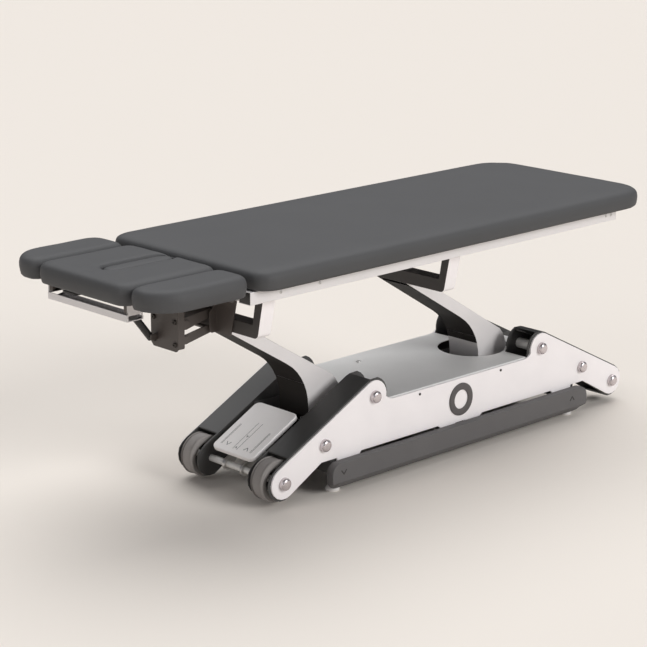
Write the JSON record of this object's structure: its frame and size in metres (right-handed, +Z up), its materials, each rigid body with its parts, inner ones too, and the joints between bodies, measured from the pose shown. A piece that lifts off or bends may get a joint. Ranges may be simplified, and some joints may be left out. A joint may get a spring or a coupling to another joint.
{
  "type": "physiotherapy table",
  "caption": "Height-adjustable treatment table: padded top with a tilting head section and drop arm rests on two parallel lift arms over a low wheeled base with foot bars.",
  "frame": {"origin": "on the floor under the middle of the table's whole length and width", "axes": "+X towards the foot end, +Y towards the far long side, +Z up"},
  "size_m": [1.974, 0.65, 0.7116],
  "materials": {
    "white_paint": "satin",
    "pearl_grey_paint": "satin",
    "charcoal_paint": "satin",
    "dark_taupe_paint": "satin",
    "cover_grey": "satin",
    "dark_grey_upholstery": "satin",
    "black_backed_plywood": "matte",
    "zinc_steel": "satin",
    "black_plastic": "matte",
    "bar_grey_plastic": "matte",
    "pedal_grey_plastic": "matte",
    "grey_tyre": "matte",
    "foot_white_plastic": "matte"
  },
  "bodies": {
    "base": {"side_plate_near": "white_paint", "side_plate_far": "white_paint", "ring_bezel_near": "charcoal_paint", "ring_bezel_far": "charcoal_paint", "leg_box_head_near": "charcoal_paint", "leg_box_head_far": "charcoal_paint", "leg_box_foot_near": "charcoal_paint", "leg_box_foot_far": "charcoal_paint", "hump_bolt_head_near": "zinc_steel", "hump_bolt_head_far": "zinc_steel", "hump_bolt_foot_near": "zinc_steel", "hump_bolt_foot_far": "zinc_steel", "levelling_foot_head_near": "foot_white_plastic", "levelling_foot_head_far": "foot_white_plastic", "levelling_foot_foot_near": "foot_white_plastic", "levelling_foot_foot_far": "foot_white_plastic", "wheel_axle": "zinc_steel", "foot_end_tie": "zinc_steel", "base_spine": "charcoal_paint", "base_cover": "cover_grey", "arm_shaft_foot": "zinc_steel", "arm_shaft_head": "zinc_steel", "drive_tube": "black_plastic", "pedal_bracket": "zinc_steel"},
    "wheel_near": {"wheel_near": "grey_tyre"},
    "wheel_far": {"wheel_far": "grey_tyre"},
    "foot_bar_near": {"foot_bar_near": "bar_grey_plastic"},
    "foot_bar_far": {"foot_bar_far": "bar_grey_plastic"},
    "head_pedal": {"head_pedal": "pedal_grey_plastic"},
    "lift_arm_foot": {"lift_arm_foot": "pearl_grey_paint"},
    "lift_arm_head": {"lift_arm_head": "pearl_grey_paint"},
    "drive_rod": {"drive_rod": "zinc_steel"},
    "top_frame": {"side_rail_near": "pearl_grey_paint", "side_rail_far": "pearl_grey_paint", "cross_tube_head": "pearl_grey_paint", "cross_tube_foot": "pearl_grey_paint", "yoke_foot": "dark_taupe_paint", "yoke_head": "dark_taupe_paint", "top_pin_foot": "zinc_steel", "top_pin_head": "zinc_steel", "main_board": "black_backed_plywood", "main_pad": "dark_grey_upholstery", "head_mount": "dark_taupe_paint"},
    "upper_link": {"upper_link": "dark_taupe_paint"},
    "lower_link": {"lower_link": "dark_taupe_paint"},
    "head_carrier": {"head_carrier": "dark_taupe_paint"},
    "head_section": {"head_frame": "dark_taupe_paint", "head_board": "black_backed_plywood", "centre_pad": "dark_grey_upholstery", "front_bar": "pearl_grey_paint"},
    "face_plug": {"face_plug": "dark_grey_upholstery"},
    "release_paddle": {"release_paddle": "black_plastic"},
    "arm_rest_near": {"arm_pad_near": "dark_grey_upholstery", "arm_bracket_near": "dark_taupe_paint"},
    "arm_rest_far": {"arm_pad_far": "dark_grey_upholstery", "arm_bracket_far": "dark_taupe_paint"},
    "gas_cylinder": {"gas_cylinder": "black_plastic"},
    "gas_rod": {"gas_rod": "zinc_steel"}
  },
  "joints": [
    {"name": "lift", "type": "hinge", "parent": "base", "child": "lift_arm_foot", "pos_m": [0.526, 0, 0.19], "axis": [0, 1, 0], "range_deg": [-28, 32]},
    {"name": "lift_head_arm", "type": "hinge", "parent": "base", "child": "lift_arm_head", "pos_m": [-0.181, 0, 0.19], "axis": [0, 1, 0], "range_deg": [-29, 33]},
    {"name": "frame_level", "type": "hinge", "parent": "lift_arm_foot", "child": "top_frame", "pos_m": [0.158, 0, 0.514], "axis": [0, 1, 0], "range_deg": [-33, 29]},
    {"name": "drive_slide", "type": "slide", "parent": "base", "child": "drive_rod", "axis": [-1, 0, 0], "range_m": [-0.03, 0.034]},
    {"name": "head_drop", "type": "hinge", "parent": "top_frame", "child": "upper_link", "pos_m": [-0.591, 0, 0.549], "axis": [0, -1, 0], "range_deg": [-10, 15]},
    {"name": "lower_link_turn", "type": "hinge", "parent": "top_frame", "child": "lower_link", "pos_m": [-0.591, 0, 0.506], "axis": [0, -1, 0], "range_deg": [-11, 16]},
    {"name": "carrier_level", "type": "hinge", "parent": "upper_link", "child": "head_carrier", "pos_m": [-0.677, 0, 0.533], "axis": [0, -1, 0], "range_deg": [-16, 11]},
    {"name": "head_tilt", "type": "hinge", "parent": "head_carrier", "child": "head_section", "pos_m": [-0.687, 0, 0.628], "axis": [0, -1, 0], "range_deg": [-5, 25]},
    {"name": "strut_turn", "type": "hinge", "parent": "head_carrier", "child": "gas_cylinder", "pos_m": [-0.7245, 0.042, 0.49], "axis": [0, -1, 0], "range_deg": [-2.5, 10.5]},
    {"name": "strut_slide", "type": "slide", "parent": "gas_cylinder", "child": "gas_rod", "axis": [-0.616, 0, 0.7877], "range_m": [-0.0535, 0.0115]},
    {"name": "arm_rest_drop_near", "type": "hinge", "parent": "head_section", "child": "arm_rest_near", "pos_m": [-0.697, -0.235, 0.6428], "axis": [0, -1, 0], "range_deg": [0, 30]},
    {"name": "arm_rest_drop_far", "type": "hinge", "parent": "head_section", "child": "arm_rest_far", "pos_m": [-0.697, 0.235, 0.6428], "axis": [0, -1, 0], "range_deg": [0, 30]},
    {"name": "face_plug_lift", "type": "slide", "parent": "head_section", "child": "face_plug", "axis": [0, 0, 1], "range_m": [0, 0.08]},
    {"name": "release_paddle_pull", "type": "hinge", "parent": "head_section", "child": "release_paddle", "pos_m": [-0.91, 0.082, 0.641], "axis": [0, 1, 0], "range_deg": [0, 8], "stiffness_Nm_per_rad": 0.6, "springref_deg": -5.73},
    {"name": "wheel_spin_near", "type": "hinge", "parent": "base", "child": "wheel_near", "pos_m": [-0.462, -0.147, 0.072], "axis": [0, 1, 0], "continuous": true},
    {"name": "wheel_spin_far", "type": "hinge", "parent": "base", "child": "wheel_far", "pos_m": [-0.462, 0.147, 0.072], "axis": [0, 1, 0], "continuous": true},
    {"name": "foot_bar_rock_near", "type": "hinge", "parent": "base", "child": "foot_bar_near", "pos_m": [0.238, -0.2135, 0.07], "axis": [0, 1, 0], "range_deg": [-1, 1], "stiffness_Nm_per_rad": 120},
    {"name": "foot_bar_rock_far", "type": "hinge", "parent": "base", "child": "foot_bar_far", "pos_m": [0.238, 0.2135, 0.07], "axis": [0, 1, 0], "range_deg": [-1, 1], "stiffness_Nm_per_rad": 120},
    {"name": "head_pedal_rock", "type": "hinge", "parent": "base", "child": "head_pedal", "pos_m": [-0.4754, 0, 0.10431], "axis": [0.8873, 0, 0.4612], "range_deg": [-3, 3], "stiffness_Nm_per_rad": 20}
  ],
  "couplings": [
    {"joint": "lift_head_arm", "follows": "lift", "ratio": 1},
    {"joint": "frame_level", "follows": "lift", "ratio": -1},
    {"joint": "drive_slide", "follows": "lift", "m_per_rad": 0.0573},
    {"joint": "lower_link_turn", "follows": "head_drop", "ratio": 1},
    {"joint": "carrier_level", "follows": "head_drop", "ratio": -1},
    {"joint": "strut_turn", "follows": "head_tilt", "ratio": 0.385},
    {"joint": "strut_slide", "follows": "head_tilt", "m_per_rad": -0.1205}
  ]
}
